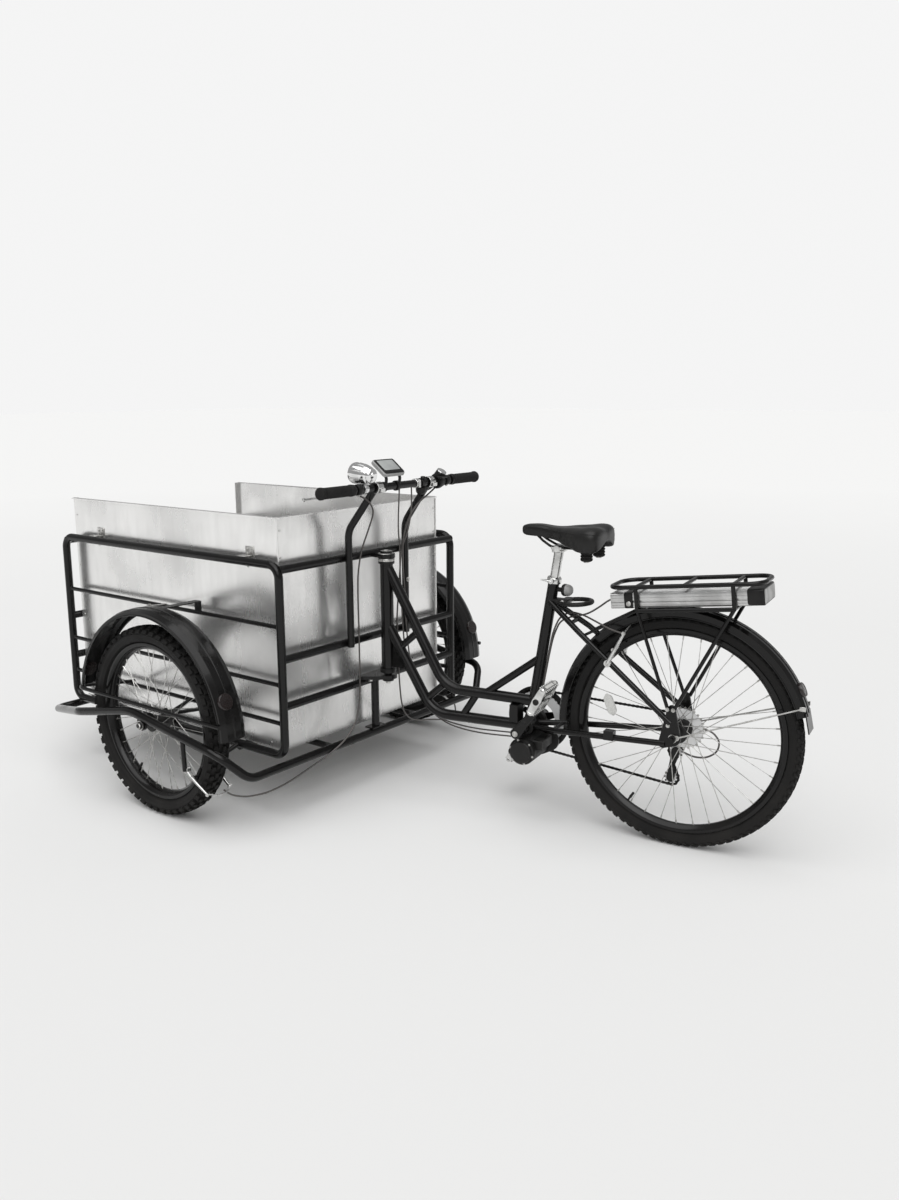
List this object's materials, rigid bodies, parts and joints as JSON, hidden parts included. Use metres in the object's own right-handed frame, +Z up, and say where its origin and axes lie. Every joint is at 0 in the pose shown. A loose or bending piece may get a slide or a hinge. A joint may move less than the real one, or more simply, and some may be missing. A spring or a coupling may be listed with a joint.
{
  "type": "electric cargo tricycle",
  "caption": "Electric cargo tricycle: an open sheet-metal box in a tube cage on front wheels that steer about an upright head tube, and a pedalled rear half with a mid motor and rack battery.",
  "frame": {"origin": "on the ground under the middle of the whole machine", "axes": "+X ahead along the cargo box, +Y to the rider's left, +Z up"},
  "size_m": [2.3646, 1.272, 1.0448],
  "materials": {
    "black_paint": "gloss black enamel",
    "sheet_aluminium": "rolled sheet, faint grain and scuffs",
    "bright_alloy": "polished",
    "bright_steel": "zinc plated",
    "chrome": "bright",
    "tyre": "dull black",
    "grip_rubber": "dull",
    "black_plastic": "satin",
    "saddle_cover": "smooth black",
    "reflector": "dark red",
    "dark_steel": "oiled dark"
  },
  "bodies": {
    "rear_frame": {"battery": "bright_alloy", "chain": "dark_steel", "chain_stays": "black_paint", "controller": "black_plastic", "derailleur": "dark_steel", "down_tubes": "black_paint", "frame_cables": "dark_steel", "head_tube": "black_paint", "mid_motor": "black_plastic", "mudguard_stays": "bright_steel", "rack": "black_paint", "rear_brake": "bright_alloy", "rear_mudguard": "black_paint", "rear_reflector": "reflector", "ring_lock": "black_paint", "saddle": "saddle_cover", "saddle_rails": "dark_steel", "seat_stays": "black_paint", "seat_tube": "black_paint", "seatpost": "bright_alloy", "tail_lamp": "black_plastic"},
    "cargo_unit": {"cage_left": "black_paint", "cage_right": "black_paint", "cage_rear": "black_paint", "cage_front": "black_paint", "floor_frame": "black_paint", "bumper_left": "black_paint", "bumper_right": "black_paint", "box_left": "sheet_aluminium", "box_right": "sheet_aluminium", "box_rear": "sheet_aluminium", "box_front": "sheet_aluminium", "box_floor": "sheet_aluminium", "box_clips": "bright_steel", "axle_carrier_left": "black_paint", "axle_carrier_right": "black_paint", "front_mudguard_left": "black_paint", "front_mudguard_right": "black_paint", "front_brake_left": "bright_alloy", "front_brake_right": "bright_alloy", "handlebar": "black_paint", "grips": "grip_rubber", "brake_levers": "bright_alloy", "shifter": "black_plastic", "headlight": "chrome", "display": "black_plastic", "bar_cables": "dark_steel"},
    "wheel_left": {"front_wheel_left": "black_paint", "front_tyre_left": "tyre"},
    "wheel_right": {"front_wheel_right": "black_paint", "front_tyre_right": "tyre"},
    "wheel_rear": {"rear_wheel": "black_paint", "rear_tyre": "tyre", "cassette": "bright_steel"},
    "crank": {"crankset": "black_paint"},
    "pedal_l": {"pedal_left": "bright_alloy"},
    "pedal_r": {"pedal_right": "bright_alloy"}
  },
  "joints": [
    {"name": "steer", "type": "hinge", "parent": "rear_frame", "child": "cargo_unit", "pos_m": [0.07582, 0, 0.56], "axis": [0, 0, 1], "range_deg": [-30.8, 49.2]},
    {"name": "front_wheel_left_spin", "type": "hinge", "parent": "cargo_unit", "child": "wheel_left", "pos_m": [0.49082, 0.56, 0.286], "axis": [0, 1, 0], "continuous": true},
    {"name": "front_wheel_right_spin", "type": "hinge", "parent": "cargo_unit", "child": "wheel_right", "pos_m": [0.49082, -0.56, 0.286], "axis": [0, 1, 0], "continuous": true},
    {"name": "rear_wheel_spin", "type": "hinge", "parent": "rear_frame", "child": "wheel_rear", "pos_m": [-0.84222, -0.14869, 0.327], "axis": [-0.1599, 0.9871, 0], "continuous": true},
    {"name": "crank_spin", "type": "hinge", "parent": "rear_frame", "child": "crank", "pos_m": [-0.40393, -0.0777, 0.281], "axis": [-0.1599, 0.9871, 0], "continuous": true},
    {"name": "pedal_left_spin", "type": "hinge", "parent": "crank", "child": "pedal_l", "pos_m": [-0.53288, 0.06147, 0.41593], "axis": [-0.1599, 0.9871, 0], "continuous": true},
    {"name": "pedal_right_spin", "type": "hinge", "parent": "crank", "child": "pedal_r", "pos_m": [-0.27498, -0.21688, 0.14607], "axis": [-0.1599, 0.9871, 0], "continuous": true}
  ]
}
